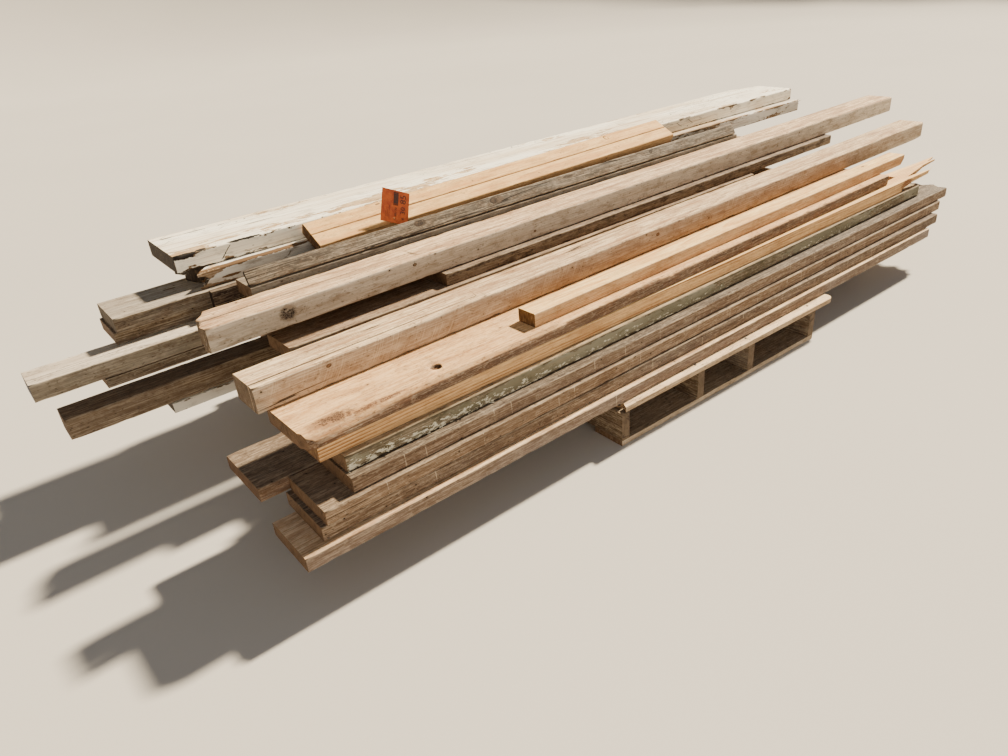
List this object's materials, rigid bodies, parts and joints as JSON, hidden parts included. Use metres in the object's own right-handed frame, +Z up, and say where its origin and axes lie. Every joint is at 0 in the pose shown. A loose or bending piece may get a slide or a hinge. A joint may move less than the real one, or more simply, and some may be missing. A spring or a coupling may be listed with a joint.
{
  "type": "stack of lumber on a pallet",
  "caption": "Weathered reclaimed planks, beams and battens of uneven length stacked flat on a low wooden pallet, with an orange card tag between two battens.",
  "frame": {"origin": "centre of the pallet's underside, on the floor", "axes": "+X along the lumber, towards the end where the planks reach furthest past the pallet; +Y from the open near side to the back; +Z up"},
  "size_m": [3.8041, 1.219, 0.6562],
  "materials": {
    "pallet_wood": "weathered",
    "old_plank": "weathered sawn",
    "green_paint": "thin grey-green paint, flaking",
    "new_wood": "new sawn",
    "timber": "sun-bleached",
    "white_paint": "flaking white paint",
    "grey_wood": "weathered grey",
    "dark_wood": "dark stained",
    "tag_card": "matte orange card"
  },
  "bodies": {
    "root": {"pallet_stringers": "pallet_wood", "pallet_bottom_boards": "pallet_wood", "pallet_deck_boards": "pallet_wood", "front_plank_1": "old_plank", "front_plank_2": "old_plank", "front_plank_3": "old_plank", "front_plank_4": "old_plank", "green_plank": "green_paint", "tan_plank": "new_wood", "broken_plank": "old_plank", "waney_plank": "old_plank", "short_yellow_board": "new_wood", "second_row_plank": "old_plank", "front_timber": "timber", "inner_plank": "old_plank", "dark_plank": "dark_wood", "rear_timber": "timber", "upper_white_plank": "white_paint", "lower_white_plank": "white_paint", "grey_board": "grey_wood", "leaning_batten": "grey_wood", "new_batten_front": "new_wood", "new_batten_back": "new_wood", "lot_tag": "tag_card", "left_plank": "grey_wood", "left_thin_plank": "dark_wood", "left_beam": "timber", "left_thin_strip": "dark_wood", "low_beam": "timber", "low_white_board": "white_paint", "dark_strip": "dark_wood", "hidden_planks_odd": "old_plank", "hidden_planks_even": "old_plank"}
  },
  "joints": []
}
